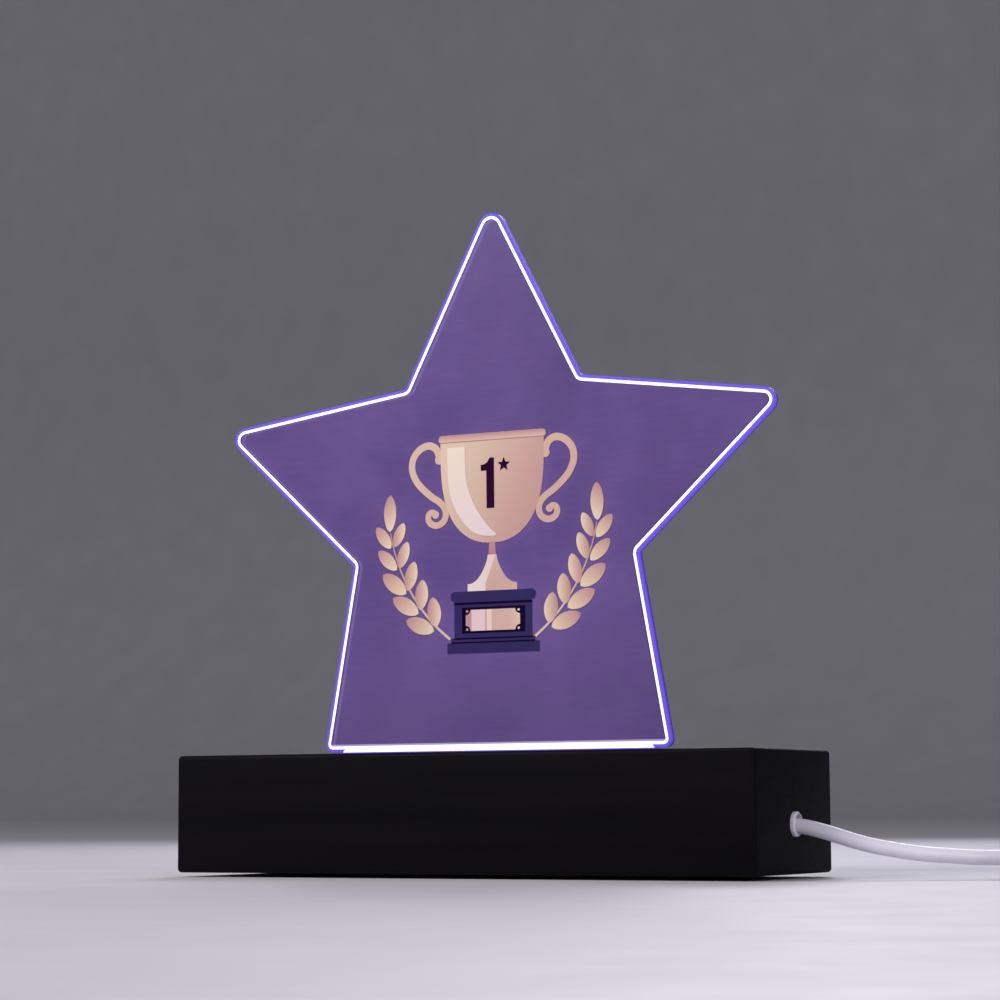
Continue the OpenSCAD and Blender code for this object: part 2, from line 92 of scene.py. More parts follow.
# leaves only those edges of the active mesh selected for which test(start, end) holds, in millimetres
def selectEdges(test, among=None):
    objectMode()
    mesh = bpy.context.object.data
    points = [v.co / mm for v in mesh.vertices]
    for part in (mesh.vertices, mesh.polygons):
        for item in part:
            item.select = False
    for edge in mesh.edges:
        a, b = edge.vertices
        edge.select = (among is None or edge.index in among) and test(points[a], points[b])
        if edge.select:
            mesh.vertices[a].select = mesh.vertices[b].select = True
    editMode("EDGE")


# the same for faces, with test(middle, normal)
def selectFaces(test):
    objectMode()
    mesh = bpy.context.object.data
    for part in (mesh.vertices, mesh.edges):
        for item in part:
            item.select = False
    for face in mesh.polygons:
        face.select = test(face.center / mm, face.normal)
    editMode("FACE")


def paintFaces(piece, slot, test):
    for face in piece.data.polygons:
        if test(face.center / mm, face.normal):
            face.material_index = slot


def applyModifier(piece, kind, **values):
    workOn(piece)
    modifier = piece.modifiers.new(kind.lower(), kind)
    for name, value in values.items():
        setattr(modifier, name, value)
    bpy.ops.object.modifier_apply(modifier=modifier.name)


def smoothShade(piece, angle=35):
    workOn(piece)
    bpy.ops.object.shade_smooth_by_angle(angle=math.radians(angle))


def settle(piece):
    workOn(piece)
    bpy.ops.object.transform_apply(location=True, rotation=True, scale=True)


# a copy of a CAD node's mesh with its loose triangles joined into whole faces
def mergedCopy(node, name):
    piece = bpy.data.objects.new(name, nodes[node].data.copy())
    piece.data.name = name
    bpy.context.scene.collection.objects.link(piece)
    piece.data.materials.clear()
    workOn(piece)
    if piece.data.has_custom_normals:
        bpy.ops.mesh.customdata_custom_splitnormals_clear()
    selectAll("VERT")
    bpy.ops.mesh.remove_doubles(threshold=0.002 * mm)
    bpy.ops.mesh.dissolve_limited(angle_limit=math.radians(0.5))
    objectMode()
    return piece


def box(name, low, high):
    low, high = Vector(low) * mm, Vector(high) * mm
    nothingSelected()
    bpy.ops.mesh.primitive_cube_add(size=1, location=(low + high) / 2, scale=high - low)
    piece = bpy.context.object
    piece.name = piece.data.name = name
    settle(piece)
    return piece


def finishPiece(piece, body, replaced, slot, *materials):
    if materials:
        while len(piece.data.materials) < len(materials):
            piece.data.materials.append(None)
        for i, material in enumerate(materials):
            piece.data.materials[i] = material
    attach(piece, body)
    if replaced:
        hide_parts(*replaced)


# the cords' routes, in millimetres
lead = {
    "radius": 1.7,
    "exit": (75, 0, 12.1),
    "route": [(48, 0, 12.1), (56, 0, 12.1), (64, 0, 12.1), (70, 0, 12.05), (76, 0, 11.7),
              (80, 0.2, 10.9), (84, 0.6, 9.8), (88, 1.4, 8.5), (92, 2.4, 7.4), (96, 3.6, 6.6),
              (100, 5.1, 5.9), (104, 6.7, 5.4), (108, 8.5, 5.1), (112, 10.3, 4.8), (116, 12.2, 4.7),
              (120, 14, 4.7), (125, 16.2, 4.8), (131, 18.6, 5.1), (137, 20.5, 5.4), (144, 21.9, 5.6)],
    "tail": [(160, 22.4, 8.9), (168, 21.4, 7.9), (175, 19, 6.8), (180, 17.4, 6.2), (184, 17, 6), (190, 17, 6)],
}

coil = {
    "middle": (152, 0),
    "columns": {"a": 15.5, "b": 19, "c": 22.5},  # radii of the turns
    "layers": {"1": 2.25, "2": 5.75, "3": 9.25, "4": 12.75},  # heights of the turns
    "order": ["c2", "c1", "b1", "a1", "a2", "b2", "b3", "a3", "a4", "b4", "c4", "c3"],
    "arc": 300,  # degrees that the cord stays in one place of the winding
    "shift": 50,  # degrees over which it moves to the next
    "stepsPerTurn": 48,
}

plugLead = {
    "exit": (224, 17, 6),
    "route": [(216, 17, 6), (221, 17, 6), (225, 17, 5.9), (229.5, 16.6, 5.5), (236, 14, 4.8),
              (240.5, 9, 4.2), (242, 3, 4), (240.5, -3, 4), (236, -8, 4), (229.5, -10.7, 4),
              (225, -11, 4), (220, -11, 4), (215, -11, 4)],
}


def smoothRoute(points, steps):
    last = len(points) - 1
    line = []
    for i in range(last):
        a, b, c, d = (Vector(points[k]) for k in (max(i - 1, 0), i, i + 1, min(i + 2, last)))
        for s in range(steps):
            t = s / steps
            line.append(0.5 * (2 * b + t * (c - a) + t * t * (2 * a - 5 * b + 4 * c - d)
                               + t ** 3 * (3 * b - a - 3 * c + d)))
    return line + [Vector(points[last])]


def coilTurns():
    places = [(coil["columns"][name[0]], coil["layers"][name[1]]) for name in coil["order"]]
    total = coil["arc"] * len(places)
    count = int(total / 360 * coil["stepsPerTurn"])
    half = coil["shift"] / 2
    line = []
    for i in range(count + 1):
        turned = total * i / count
        here = min(int(turned / coil["arc"]), len(places) - 1)
        into = turned - here * coil["arc"]
        other, share = here, 0
        if into < half and here > 0:
            other, share = here - 1, 0.5 - into / coil["shift"]
        elif into > coil["arc"] - half and here < len(places) - 1:
            other, share = here + 1, 0.5 - (coil["arc"] - into) / coil["shift"]
        share = share * share * (3 - 2 * share)
        radius = places[here][0] * (1 - share) + places[other][0] * share
        height = places[here][1] * (1 - share) + places[other][1] * share
        angle = math.radians(90 - turned)
        line.append(Vector((coil["middle"][0] + radius * math.cos(angle),
                            coil["middle"][1] + radius * math.sin(angle), height)))
    return line


def cordCurve(name, line, radius):
    curve = bpy.data.curves.new(name, "CURVE")
    curve.dimensions = "3D"
    curve.bevel_depth = radius * mm
    curve.bevel_resolution = 5
    curve.use_fill_caps = True
    curve.twist_mode = "Z_UP"
    spline = curve.splines.new("POLY")
    spline.points.add(len(line) - 1)
    for point, place in zip(spline.points, line):
        point.co = (*(place * mm), 1)
    spline.use_smooth = True
    piece = bpy.data.objects.new(name, curve)
    bpy.context.scene.collection.objects.link(piece)
    return piece


def routeLength(line):
    return sum((b - a).length for a, b in zip(line, line[1:])) * mm


coilLine = coilTurns()
joinedRoute = lead["route"] + [tuple(coilLine[0]), tuple(coilLine[2])]
leadLine = smoothRoute(joinedRoute, 3)[:-6] + coilLine
joinedTail = [tuple(coilLine[-3]), tuple(coilLine[-1])] + lead["tail"]
leadLine += smoothRoute(joinedTail, 3)[4:]
plugLine = smoothRoute(plugLead["route"], 3)
leadCord = cordCurve("leadCord", leadLine, lead["radius"])
plugCord = cordCurve("plugCord", plugLine, lead["radius"])
print("cords", round(routeLength(leadLine), 4), round(routeLength(plugLine), 4))


def startMaterial(name, **sockets):
    material = bpy.data.materials.new(name)
    material.use_nodes = True
    shader = material.node_tree.nodes["Principled BSDF"]
    for socket, value in sockets.items():
        shader.inputs[socket.replace("_", " ")].default_value = value
    return material, material.node_tree, shader


def placeOnPiece(tree, stretch=(1, 1, 1)):
    coordinates = tree.nodes.new("ShaderNodeTexCoord")
    mapping = tree.nodes.new("ShaderNodeMapping")
    mapping.inputs["Scale"].default_value = stretch
    tree.links.new(coordinates.outputs["Object"], mapping.inputs["Vector"])
    return mapping.outputs["Vector"]


# a noise whose spots are about size millimetres
def spots(tree, size, stretch=(1, 1, 1), detail=3, roughness=0.55):
    noise = tree.nodes.new("ShaderNodeTexNoise")
    noise.inputs["Scale"].default_value = 1 / (size * mm)
    noise.inputs["Detail"].default_value = detail
    noise.inputs["Roughness"].default_value = roughness
    tree.links.new(placeOnPiece(tree, stretch), noise.inputs["Vector"])
    return noise.outputs["Fac"]


def colours(tree, source, stops, target):
    ramp = tree.nodes.new("ShaderNodeValToRGB")
    ramp.color_ramp.elements[0].position = stops[0][0]
    ramp.color_ramp.elements[0].color = (*stops[0][1], 1)
    ramp.color_ramp.elements[1].position = stops[-1][0]
    ramp.color_ramp.elements[1].color = (*stops[-1][1], 1)
    for place, colour in stops[1:-1]:
        ramp.color_ramp.elements.new(place).color = (*colour, 1)
    tree.links.new(source, ramp.inputs["Fac"])
    tree.links.new(ramp.outputs["Color"], target)


def values(tree, source, low, high, target):
    spread = tree.nodes.new("ShaderNodeMapRange")
    spread.inputs["From Min"].default_value = 0.3
    spread.inputs["From Max"].default_value = 0.7
    spread.inputs["To Min"].default_value = low
    spread.inputs["To Max"].default_value = high
    tree.links.new(source, spread.inputs["Value"])
    tree.links.new(spread.outputs["Result"], target)


def relief(tree, source, depth, shader, strength=1.0):
    bump = tree.nodes.new("ShaderNodeBump")
    bump.inputs["Strength"].default_value = strength
    bump.inputs["Distance"].default_value = depth * mm
    tree.links.new(source, bump.inputs["Height"])
    tree.links.new(bump.outputs["Normal"], shader.inputs["Normal"])


def scaled(colour, factor):
    return tuple(min(c * factor, 1) for c in colour)


def mouldedFinish(name, colour, rough, size=0.6, depth=0.02, vary=0.06, **sockets):
    material, tree, shader = startMaterial(name, **sockets)
    colours(tree, spots(tree, size * 14), [(0.3, scaled(colour, 1 - vary)), (0.7, scaled(colour, 1 + vary))],
            shader.inputs["Base Color"])
    values(tree, spots(tree, size * 5), rough - 0.06, rough + 0.06, shader.inputs["Roughness"])
    relief(tree, spots(tree, size, detail=2), depth, shader)
    return material


def metalFinish(name, colour, rough, stretch, size=0.5, vary=0.12):
    material, tree, shader = startMaterial(name, Metallic=1.0)
    lines = spots(tree, size, stretch, detail=4)
    colours(tree, lines, [(0.25, scaled(colour, 1 - vary)), (0.75, scaled(colour, 1 + vary))],
            shader.inputs["Base Color"])
    values(tree, lines, rough - 0.08, rough + 0.1, shader.inputs["Roughness"])
    relief(tree, lines, 0.008, shader)
    return material


# how far a point lies on the way from start to end, in the panel's plane, from 0 to 1
def alongPanel(tree, start, end):
    way = Vector((end[0] - start[0], 0, end[1] - start[1]))
    offset = tree.nodes.new("ShaderNodeVectorMath")
    offset.operation = "SUBTRACT"
    offset.inputs[1].default_value = (start[0] * mm, 0, start[1] * mm)
    tree.links.new(placeOnPiece(tree), offset.inputs[0])
    product = tree.nodes.new("ShaderNodeVectorMath")
    product.operation = "DOT_PRODUCT"
    product.inputs[1].default_value = way / way.length_squared / mm
    tree.links.new(offset.outputs["Vector"], product.inputs[0])
    return product.outputs["Value"]


def inkFinish(name, start, end, stops, gloss=0.12, **sockets):
    material, tree, shader = startMaterial(name, Specular_IOR_Level=gloss, **sockets)
    colours(tree, alongPanel(tree, start, end), stops, shader.inputs["Base Color"])
    values(tree, spots(tree, 1.5), 0.38, 0.5, shader.inputs["Roughness"])
    relief(tree, spots(tree, 0.35, detail=2), 0.006, shader)
    return material


cordFinish = mouldedFinish("cordVinyl", (0.8, 0.77, 0.87), 0.34, size=0.8, depth=0.012, vary=0.03,
                           Specular_IOR_Level=0.6)
reliefFinish = mouldedFinish("reliefVinyl", (0.8, 0.78, 0.86), 0.5, size=0.35, depth=0.02, vary=0.03)
bushingFinish = mouldedFinish("bushingVinyl", (0.78, 0.74, 0.84), 0.48, size=0.3, depth=0.02, vary=0.04)
shellFinish = mouldedFinish("switchPlastic", (0.82, 0.81, 0.85), 0.38, size=0.18, depth=0.012, vary=0.02)
rockerFinish = mouldedFinish("rockerPlastic", (0.66, 0.65, 0.71), 0.28, size=0.3, depth=0.006, vary=0.03,
                             Coat_Weight=0.2)
plugFinish = mouldedFinish("plugVinyl", (0.81, 0.8, 0.84), 0.55, size=0.14, depth=0.02, vary=0.02)
tongueFinish = mouldedFinish("tonguePlastic", (0.82, 0.82, 0.84), 0.35, size=0.3, depth=0.004, vary=0.02)
coverFinish = mouldedFinish("coverPlastic", (0.018, 0.016, 0.019), 0.62, size=0.3, depth=0.04, vary=0.2)
footFinish = mouldedFinish("footRubber", (0.02, 0.02, 0.021), 0.8, size=0.25, depth=0.05, vary=0.25)
boardFinish = mouldedFinish("boardResist", (0.76, 0.79, 0.75), 0.3, size=0.5, depth=0.01, vary=0.03,
                            Coat_Weight=0.3)
packageFinish = mouldedFinish("ledPackage", (0.86, 0.86, 0.82), 0.4, size=0.2, depth=0.005, vary=0.02)
resistorFinish = mouldedFinish("resistorGlaze", (0.015, 0.015, 0.018), 0.25, size=0.3, depth=0.006, vary=0.3)
redFinish = mouldedFinish("wireRed", (0.5, 0.02, 0.015), 0.4, size=0.4, depth=0.006, vary=0.08)
blackFinish = mouldedFinish("wireBlack", (0.012, 0.012, 0.014), 0.4, size=0.4, depth=0.006, vary=0.2)
clampFinish = mouldedFinish("clampNylon", (0.8, 0.8, 0.78), 0.5, size=0.3, depth=0.02, vary=0.03,
                            Subsurface_Weight=0.1)
zincFinish = metalFinish("zincSteel", (0.6, 0.6, 0.61), 0.3, (1, 1, 1), size=0.4)
nickelFinish = metalFinish("nickelSteel", (0.63, 0.62, 0.61), 0.26, (0.08, 1, 1), size=0.25, vary=0.06)
brassFinish = metalFinish("stampedBrass", (0.72, 0.5, 0.2), 0.28, (1, 0.15, 1), size=0.3, vary=0.08)
solderFinish = metalFinish("solder", (0.62, 0.63, 0.65), 0.22, (1, 1, 1), size=0.6)
lensFinish = mouldedFinish("ledLens", (0.9, 0.8, 0.5), 0.2, size=0.4, depth=0.003, vary=0.04,
                           Emission_Color=(0.72, 0.66, 1.0, 1), Emission_Strength=4.0)

# the strap's woven loops, with painted shade darkening each loop towards the gaps between loops
strapFinish, tree, shader = startMaterial("strapWeave", Sheen_Weight=0.5, Sheen_Roughness=0.6)
loops = tree.nodes.new("ShaderNodeTexVoronoi")
loops.inputs["Scale"].default_value = 2600
tree.links.new(placeOnPiece(tree, (1, 0.6, 0.6)), loops.inputs["Vector"])
colours(tree, loops.outputs["Distance"], [(0.0, (0.028, 0.027, 0.03)), (0.7, (0.008, 0.008, 0.009))],
        shader.inputs["Base Color"])
values(tree, spots(tree, 0.8), 0.75, 0.95, shader.inputs["Roughness"])
relief(tree, loops.outputs["Distance"], 0.15, shader, 0.8)

# stained wood: fine pores along the block
woodFinish, tree, shader = startMaterial("blackWood", Specular_IOR_Level=0.05)
grain = spots(tree, 0.55, (0.035, 1, 1), detail=6, roughness=0.62)
bands = spots(tree, 5, (0.05, 1, 1), detail=2)
colours(tree, bands, [(0.3, (0.0022, 0.0018, 0.003)), (0.7, (0.0044, 0.0036, 0.0056))],
        shader.inputs["Base Color"])
values(tree, grain, 0.42, 0.6, shader.inputs["Roughness"])
relief(tree, grain, 0.05, shader, 0.7)

print("materials")

# the lit star and its foot
panel = {
    "chamfer": 0.15,
    "rim": 0.6,  # flat part of the violet rim, which has a painted glow
    "band": 0.68,  # width of the white lit band
    "line": 0.3,  # darker line inside the band
    "shoulder": 29.5,  # level of the star's lower edge
    "inSlot": 28,  # below this the foot is out of sight at rest
    "footTop": 30.95,  # upper limit of the lit strip over the slot
    "glowTop": 31.45,  # upper limit of the glow over that strip
    "corner": 42.2,  # where the lower corners start to turn
    "alpha": 0.72,  # how opaque the hazy face is
    "rear": 1.15,  # depth of the softer rear part of the edge
    "proud": 0.02,  # keeps the print's back off the level of the front face
}

# hazy face with a fine weave of lines
hazeFinish, tree, shader = startMaterial("acrylicHaze", Roughness=0.34, IOR=1.49, Alpha=panel["alpha"],
                                         Specular_IOR_Level=0.3)
threads = spots(tree, 0.9, (0.12, 1, 1), detail=5, roughness=0.7)
clouds = spots(tree, 26, detail=3)
mixed = tree.nodes.new("ShaderNodeMath")
mixed.operation = "MULTIPLY_ADD"
tree.links.new(threads, mixed.inputs[0])
mixed.inputs[1].default_value = 0.45
tree.links.new(clouds, mixed.inputs[2])
# painted light from the lit slot: the haze's colour gets lighter towards it
lower = tree.nodes.new("ShaderNodeMath")
lower.operation = "ADD"
tree.links.new(mixed.outputs["Value"], lower.inputs[0])
values(tree, alongPanel(tree, (0, 100), (0, 20)), 0, 0.2, lower.inputs[1])
colours(tree, lower.outputs["Value"], [(0.45, (0.106, 0.056, 0.24)), (1.05, (0.168, 0.097, 0.334))],
        shader.inputs["Base Color"])
relief(tree, threads, 0.012, shader, 0.5)

# painted glow: the rim, band, rear and glow finishes have emission and pale base colours that stand in for the
# LEDs' light carried to the acrylic's edges; the line finish is a darker line inside the band
lineFinish = mouldedFinish("acrylicLine", (0.06, 0.035, 0.15), 0.3, size=0.8, depth=0.004, vary=0.1, IOR=1.49,
                           Alpha=0.85)
glowFinish = mouldedFinish("acrylicGlow", (0.34, 0.27, 0.5), 0.3, size=0.8, depth=0.004, vary=0.06, IOR=1.49,
                           Alpha=0.85, Emission_Color=(0.6, 0.5, 1.0, 1), Emission_Strength=0.3)
rimGlowFinish = mouldedFinish("acrylicRimGlow", (0.07, 0.045, 0.35), 0.4, size=0.8, depth=0.004, vary=0.1, IOR=1.49,
                          Specular_IOR_Level=0.15, Emission_Color=(0.15, 0.09, 0.8, 1), Emission_Strength=0.7)
rearGlowFinish = mouldedFinish("acrylicRearGlow", (0.11, 0.07, 0.36), 0.4, size=0.8, depth=0.004, vary=0.1, IOR=1.49,
                           Alpha=0.8, Specular_IOR_Level=0.15, Emission_Color=(0.13, 0.07, 0.7, 1),
                           Emission_Strength=0.15)
bandGlowFinish = mouldedFinish("acrylicBandGlow", (0.8, 0.76, 0.95), 0.4, size=0.8, depth=0.004, vary=0.04, IOR=1.49,
                           Specular_IOR_Level=0.15, Emission_Color=(0.93, 0.9, 1.0, 1), Emission_Strength=0.9)

star = mergedCopy("star_panel", "starPanel")
low, high = (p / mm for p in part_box("star_panel"))
for y in (low.y, high.y):
    selectEdges(lambda a, b: abs(a.y - y) < 0.01 and abs(b.y - y) < 0.01)
    bpy.ops.mesh.bevel(offset=panel["chamfer"] * mm, segments=1, affect="EDGES")
objectMode()
for finish in (rimGlowFinish, bandGlowFinish, lineFinish, hazeFinish, glowFinish, rearGlowFinish):
    star.data.materials.append(finish)
for side in (-1, 1):
    selectFaces(lambda middle, normal: normal.y * side > 0.999)
    for slot, width in enumerate((panel["rim"], panel["band"], panel["line"])):
        bpy.ops.mesh.inset(thickness=width * mm, use_even_offset=True)
        star.active_material_index = slot + 1
        bpy.ops.object.material_slot_assign()
    if side < 0:
        bpy.ops.transform.translate(value=(0, -panel["proud"] * mm, 0))
cuts = [((0, 0, panel[level]), (0, 0, 1)) for level in ("shoulder", "footTop", "inSlot", "glowTop")]
cuts.append(((0, high.y - panel["rear"], 0), (0, 1, 0)))
for middle, normal in cuts:
    selectAll("FACE")
    bpy.ops.mesh.bisect(plane_co=Vector(middle) * mm, plane_no=normal)
objectMode()
# kinds: 0 rim, 1 band, 2 line, 3 haze, 4 glow, 5 rear
for face in star.data.polygons:
    kind, middle, facing = face.material_index, face.center / mm, abs(face.normal.y)
    if facing < 0.5 and middle.y > high.y - panel["rear"]:
        kind = 5
    elif facing > 0.99:
        if middle.z < panel["inSlot"]:
            kind = 3
        elif middle.z < panel["shoulder"]:
            kind = 0
        elif middle.z < panel["footTop"]:
            kind = 0 if kind == 0 and abs(middle.x) > panel["corner"] else 1
        elif middle.z < panel["glowTop"] and kind in (2, 3):
            kind = 4
        # the painted glow is softer from behind, so that it stays faint through the front
        kind = {0: 5, 1: 4, 2: 3}.get(kind, kind) if middle.y > 0 else kind
    face.material_index = kind
finishPiece(star, "plaque", ["star_panel"], "acrylic")
print("panel")

# inks: where the tone starts and ends in the panel's plane, then its colours
inkBowl = inkFinish("inkBowl", (-14, 98), (13, 86),
                    [(0.0, (0.74, 0.56, 0.43)), (0.25, (0.69, 0.51, 0.385)), (0.5, (0.64, 0.44, 0.35)),
                     (0.75, (0.59, 0.36, 0.315)), (1.0, (0.54, 0.31, 0.275))])
inkRim = inkFinish("inkRim", (0, 103), (0, 104.8),
                   [(0.0, (0.76, 0.5, 0.43)), (0.25, (0.68, 0.44, 0.38)), (0.6, (0.59, 0.35, 0.31)),
                    (1.0, (0.47, 0.26, 0.26))])
inkLine = inkFinish("inkLine", (-14, 103), (14, 103), [(0.0, (0.44, 0.26, 0.23)), (1.0, (0.42, 0.25, 0.22))])
inkStem = inkFinish("inkStem", (-1, 75), (1, 78.5), [(0.0, (0.42, 0.2, 0.22)), (1.0, (0.52, 0.28, 0.28))])
inkFootLight = inkFinish("inkFootLight", (-6, 68), (0, 75),
                         [(0.0, (0.82, 0.7, 0.66)), (1.0, (0.78, 0.64, 0.56))])
inkFootDark = inkFinish("inkFootDark", (0, 75), (6, 67.5),
                        [(0.0, (0.66, 0.46, 0.4)), (0.6, (0.62, 0.39, 0.33)), (1.0, (0.67, 0.43, 0.35))])
inkShine = inkFinish("inkShine", (-10, 101), (-2, 80), [(0.0, (0.85, 0.72, 0.59)), (1.0, (0.8, 0.65, 0.66))])
inkHandles = inkFinish("inkHandles", (-6, 103), (6, 84),
                       [(0.0, (0.7, 0.49, 0.38)), (0.5, (0.67, 0.44, 0.34)), (1.0, (0.64, 0.41, 0.33))])
inkNavy = inkFinish("inkNavy", (-12, 60), (12, 58), [(0.0, (0.031, 0.018, 0.108)), (1.0, (0.026, 0.02, 0.1))])
inkRecess = inkFinish("inkRecess", (-8, 60), (8, 60),
                      [(0.0, (0.006, 0.001, 0.024)), (1.0, (0.008, 0.002, 0.028))], gloss=0.02)
inkDark = inkFinish("inkDark", (0, 99), (0, 86),
                    [(0.0, (0.022, 0.002, 0.027)), (1.0, (0.026, 0.003, 0.03))], gloss=0.02)
whites = [(0.0, (0.84, 0.82, 0.88)), (1.0, (0.8, 0.78, 0.86))]
inkWhite = inkFinish("inkWhite", (0, 105), (0, 52), whites)
# painted glow for the white ink's back faces
inkWhiteLit = inkFinish("inkWhiteLit", (0, 105), (0, 52), whites, Emission_Color=(0.8, 0.74, 1.0, 1),
                        Emission_Strength=1.1)
plateStripes = [(0.0, (0.53, 0.29, 0.29)), (0.1, (0.53, 0.3, 0.29)), (0.11, (0.79, 0.58, 0.6)),
                (0.35, (0.82, 0.6, 0.6)), (0.36, (0.6, 0.4, 0.34)), (0.385, (0.62, 0.42, 0.35)),
                (0.395, (0.84, 0.64, 0.56)), (0.475, (0.84, 0.63, 0.55)), (0.485, (0.66, 0.44, 0.37)),
                (0.8, (0.68, 0.45, 0.39)), (1.0, (0.78, 0.56, 0.42))]
inkPlate = inkFinish("inkPlate", (-7.24, 60), (7.24, 60), plateStripes)

cup = mergedCopy("print_cup", "cupPrint")
cupParts = {
    "line": 102.82,  # levels where one tone ends and the next starts
    "rim": 103.12,
    "stemTop": 78.6,
    "foot": 75.65,
    "slab": 68.75,
    "stemHalf": 1.5,
    "ridge": -2.0,  # where the foot's ridge starts over the slab
    "lean": 2.75,
}
for level in ("line", "rim", "stemTop", "foot", "slab"):
    selectAll("FACE")
    bpy.ops.mesh.bisect(plane_co=(0, 0, cupParts[level] * mm), plane_no=(0, 0, 1))
footHeight = cupParts["foot"] - cupParts["slab"]
for normal in ((1, 0, 0), Vector((footHeight, 0, -cupParts["lean"])).normalized()):
    selectFaces(lambda middle, facing: middle.z < cupParts["foot"])
    bpy.ops.mesh.bisect(plane_co=(cupParts["ridge"] * mm, 0, cupParts["slab"] * mm), plane_no=normal)
objectMode()


def cupInk(middle):
    if middle.z > cupParts["line"]:
        return 1 if middle.z > cupParts["rim"] else 5
    if middle.z > cupParts["foot"]:
        return 2 if middle.z < cupParts["stemTop"] and abs(middle.x) < cupParts["stemHalf"] else 0
    rise = max(middle.z - cupParts["slab"], 0) / footHeight
    return 3 if middle.x < cupParts["ridge"] + cupParts["lean"] * rise else 4


cupInks = (inkBowl, inkRim, inkStem, inkFootLight, inkFootDark, inkLine)
finishPiece(cup, "plaque", ["print_cup"], "ink_cup", *cupInks)
for ink in range(len(cupInks)):
    paintFaces(cup, ink, lambda middle, normal: cupInk(middle) == ink)

laurel = {
    "start": (-27.7, 82),
    "bend": 42,  # radius of the branch
    "turn": 100.5,  # direction of its upper end
    "length": 31.6,
    "height": 28,
    "middle": -0.3,
    "thick": 0.1,
    "stalkBack": 0.02,  # how far the branch lies behind the leaves
    "stalkHalf": (0.12, 0.3),  # half its width at the tip and at the foot
    "stalkTone": (0.1, 0.8),
    "swell": 1.02,  # shape of a leaf's two sides
    "blunt": 0.6,
    # middle in X and Z, length, width, angle, direction in which the tone gets lighter
    "leaves": [(-27.8, 86.8, 9, 3.3, 89, -50),
               (-29.6, 80.95, 6.6, 2.95, 127.5, -50), (-25.3, 81.45, 6.35, 2.75, 65, -5),
               (-28.5, 75.45, 7.05, 3.1, 136.5, -50), (-24.1, 76.55, 6.75, 2.95, 70, -5),
               (-26.6, 69.6, 8.1, 3.8, 143, -50), (-22, 71.35, 7.3, 3.3, 75, -5),
               (-23.5, 64.25, 8.1, 3.75, 151, -45), (-19.1, 66.75, 7.3, 3.5, 85, -5),
               (-19.55, 59.35, 8.15, 3.75, 159.5, -35), (-15.65, 62.45, 7.3, 3.6, 97, -5)],
}
inkLeaf, tree, shader = startMaterial("inkLeaf", Specular_IOR_Level=0.12)
along = tree.nodes.new("ShaderNodeUVMap")
along.uv_map = "tone"
split = tree.nodes.new("ShaderNodeSeparateXYZ")
tree.links.new(along.outputs["UV"], split.inputs["Vector"])
colours(tree, split.outputs["X"],
        [(0.0, (0.5, 0.26, 0.24)), (0.35, (0.61, 0.39, 0.33)), (0.7, (0.74, 0.54, 0.4)), (1.0, (0.83, 0.68, 0.47))],
        shader.inputs["Base Color"])
values(tree, spots(tree, 1.5), 0.38, 0.5, shader.inputs["Roughness"])


def branchAngle(s):
    return laurel["turn"] + math.degrees(s / laurel["bend"])


def branchPoint(s):
    a, b = math.radians(laurel["turn"]), math.radians(branchAngle(s))
    arc = Vector((math.sin(a) - math.sin(b), math.cos(b) - math.cos(a)))
    return Vector(laurel["start"]) + laurel["bend"] * arc


# a leaf 1 long and 1 wide, from a grid whose rows close at both ends
def unitLeaf():
    nothingSelected()
    bpy.ops.mesh.primitive_grid_add(x_subdivisions=14, y_subdivisions=6, size=1)
    piece = bpy.context.object
    for vertex in piece.data.vertices:
        t = min(max(vertex.co.x + 0.5, 0), 1)
        vertex.co.y *= laurel["swell"] * max(math.sin(math.pi * t), 0) ** laurel["blunt"]
    workOn(piece)
    selectAll("VERT")
    bpy.ops.mesh.remove_doubles(threshold=0.002)
    objectMode()
    return piece


# the tone is kept in the leaf's UV map, from 0 at its dark side to 1
def setTones(piece, tones):
    layer = piece.data.uv_layers.active
    layer.name = "tone"
    for loop in piece.data.loops:
        layer.data[loop.index].uv = (tones[loop.vertex_index], 0.5)


def placedLeaf(pattern, x, z, length, width, turn, toneTurn):
    leaf = pattern.copy()
    leaf.data = pattern.data.copy()
    bpy.context.scene.collection.objects.link(leaf)
    leaf.scale = (length * mm, width * mm, 1)
    leaf.rotation_euler = (math.radians(90), math.radians(-turn), 0)
    leaf.location = (x * mm, 0, z * mm)
    settle(leaf)
    tone = Vector((math.cos(math.radians(toneTurn)), 0, math.sin(math.radians(toneTurn))))
    tones = [vertex.co.dot(tone) for vertex in leaf.data.vertices]
    lowest, highest = min(tones), max(tones)
    setTones(leaf, [(value - lowest) / (highest - lowest) for value in tones])
    return leaf


def branchStalk():
    thin, wide = laurel["stalkHalf"]
    nothingSelected()
    bpy.ops.mesh.primitive_grid_add(x_subdivisions=24, y_subdivisions=1, size=1)
    stalk = bpy.context.object
    shares = []
    for vertex in stalk.data.vertices:
        share, side = vertex.co.x + 0.5, vertex.co.y * 2
        s = share * laurel["length"]
        a = math.radians(branchAngle(s))
        p = branchPoint(s) + side * (thin + (wide - thin) * share) * Vector((-math.sin(a), math.cos(a)))
        vertex.co = Vector((p.x, laurel["stalkBack"], p.y)) * mm
        shares.append((laurel["start"][1] - p.y) / laurel["height"])
    dark, light = laurel["stalkTone"]
    setTones(stalk, [dark + (light - dark) * share for share in shares])
    return stalk


